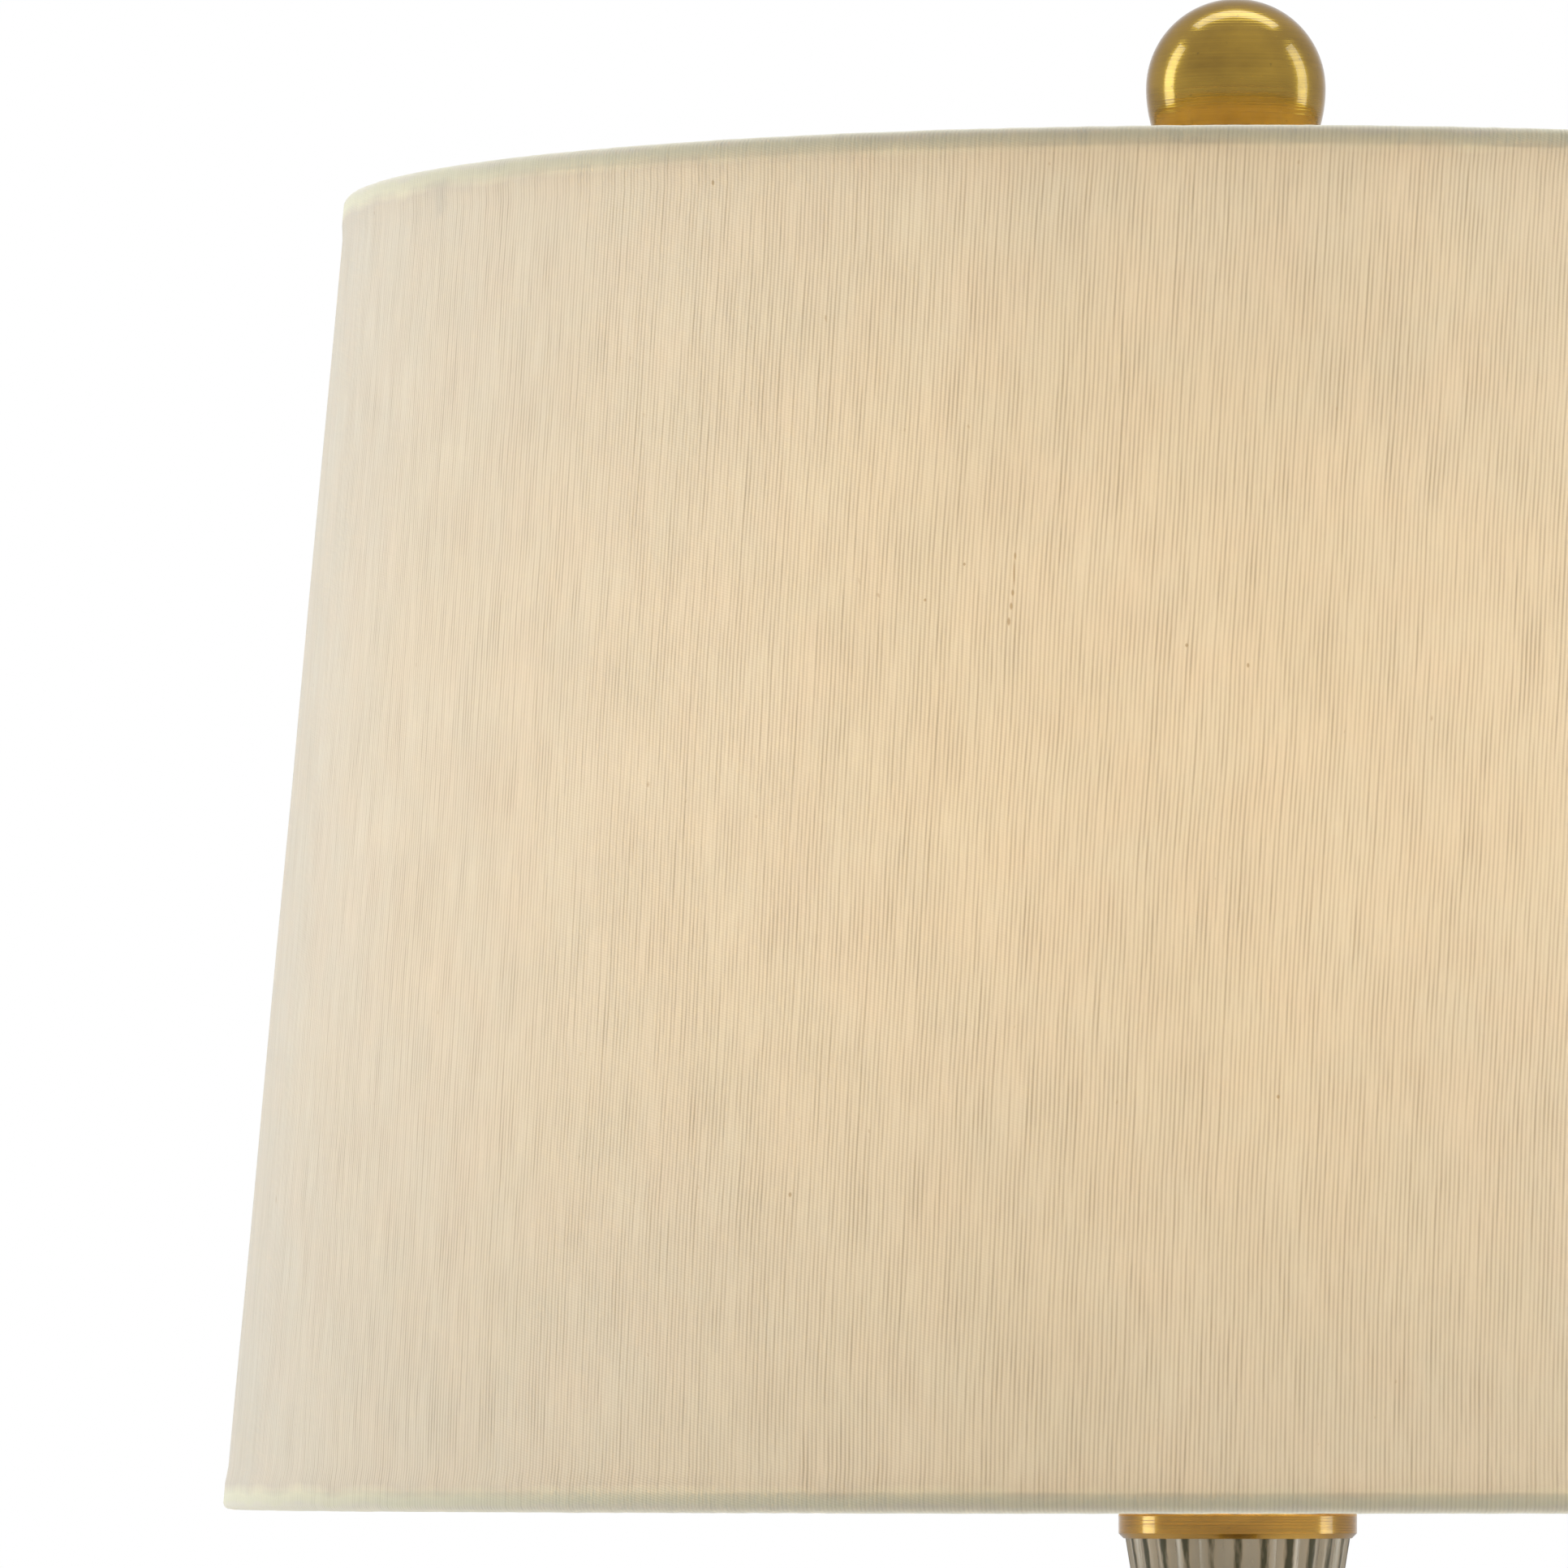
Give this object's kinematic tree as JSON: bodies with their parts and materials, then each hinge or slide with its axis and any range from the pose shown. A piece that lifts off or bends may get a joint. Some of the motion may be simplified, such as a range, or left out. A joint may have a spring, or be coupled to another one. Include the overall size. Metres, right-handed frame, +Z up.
{
  "type": "table lamp",
  "caption": "Candlestick table lamp: stepped brass foot, reeded nickel column with brass knops, and a wide tapered cloth drum shade held on a harp by a ball finial.",
  "frame": {"origin": "middle of the felt's underside, where the lamp's axis meets the table", "axes": "+Z up the lamp's axis; -Y is the front, where the switch knob points; +X is the right-hand harp leg seen from the front; the cord bushing faces +Y"},
  "size_m": [0.4317, 0.4318, 0.7802],
  "materials": {
    "antique_brass": "antique brass, finely brushed, clear lacquer",
    "antique_nickel": "antique nickel, dark in the grooves of the reeding",
    "iron": "rough cast, unpainted",
    "felt": "dark brown felt",
    "zinc_steel": "zinc plated",
    "plated_brass": "bright brass plating",
    "white_steel": "white enamel on steel wire",
    "shade_cloth": "cream slubbed weave with fine upright ribs",
    "shade_styrene": "white translucent backing sheet",
    "hem_cloth": "the same weave folded over the wire rings",
    "card": "brown insulating card",
    "black_plastic": "moulded, matte",
    "aluminium": "rolled sheet",
    "solder": "tinned contact",
    "frosted_glass": "inside frosted, almost opaque white",
    "black_glass": "black insulating glass"
  },
  "bodies": {
    "column": {"base_nut": "zinc_steel", "base_washer": "zinc_steel", "bell_collar": "antique_brass", "brass_foot": "antique_brass", "column_cap": "antique_brass", "cord_bushing": "black_plastic", "cup_collar": "antique_brass", "felt_pad": "felt", "harp_saddle": "plated_brass", "iron_weight": "iron", "lamp_pipe": "zinc_steel", "lower_knop": "antique_brass", "neck_collar": "antique_brass", "neck_locknut": "plated_brass", "neck_sleeve": "antique_brass", "reeded_bell": "antique_nickel", "reeded_cup": "antique_nickel", "reeded_shaft": "antique_nickel", "shaft_collar": "antique_brass", "socket_cap": "plated_brass", "socket_contact": "plated_brass", "socket_core": "black_plastic", "socket_liner": "card", "socket_screw_shell": "aluminium", "socket_set_screw": "zinc_steel", "socket_shell": "plated_brass", "terminal_screw_brass": "plated_brass", "terminal_screw_nickel": "zinc_steel", "upper_knop": "antique_brass"},
    "switch": {"switch_stem": "plated_brass", "switch_knob": "black_plastic"},
    "bulb": {"bulb_glass": "frosted_glass", "bulb_cap": "aluminium", "bulb_insulator": "black_glass", "bulb_contact": "solder"},
    "harp": {"harp_loop": "plated_brass"},
    "sleeve_left": {"harp_sleeve_left": "plated_brass"},
    "sleeve_right": {"harp_sleeve_right": "plated_brass"},
    "stud": {"harp_stud": "plated_brass"},
    "shade": {"shade_cover": "shade_cloth", "shade_backing": "shade_styrene", "shade_top_hem": "hem_cloth", "shade_bottom_hem": "hem_cloth", "shade_top_ring": "white_steel", "shade_bottom_ring": "white_steel", "shade_spider": "white_steel"},
    "finial": {"finial_ball": "antique_brass", "finial_foot": "antique_brass"}
  },
  "joints": [
    {"name": "switch_turn", "type": "hinge", "parent": "column", "child": "switch", "pos_m": [0, 0, 0.5086], "axis": [0, -1, 0], "continuous": true},
    {"name": "bulb_release", "type": "slide", "parent": "column", "child": "bulb", "axis": [0, 0, 1], "range_m": [0, 0.026]},
    {"name": "harp_lift", "type": "slide", "parent": "column", "child": "harp", "axis": [0, 0, 1], "range_m": [0, 0.03]},
    {"name": "sleeve_left_lift", "type": "slide", "parent": "harp", "child": "sleeve_left", "axis": [0, 0, 1], "range_m": [0, 0.014]},
    {"name": "sleeve_right_lift", "type": "slide", "parent": "harp", "child": "sleeve_right", "axis": [0, 0, 1], "range_m": [0, 0.014]},
    {"name": "shade_swivel", "type": "hinge", "parent": "harp", "child": "stud", "pos_m": [0, 0, 0.7219], "axis": [0, 0, 1], "continuous": true},
    {"name": "shade_lift", "type": "slide", "parent": "stud", "child": "shade", "axis": [0, 0, 1], "range_m": [0, 0.29]},
    {"name": "finial_release", "type": "slide", "parent": "shade", "child": "finial", "axis": [0, 0, 1], "range_m": [0, 0.014]}
  ]
}
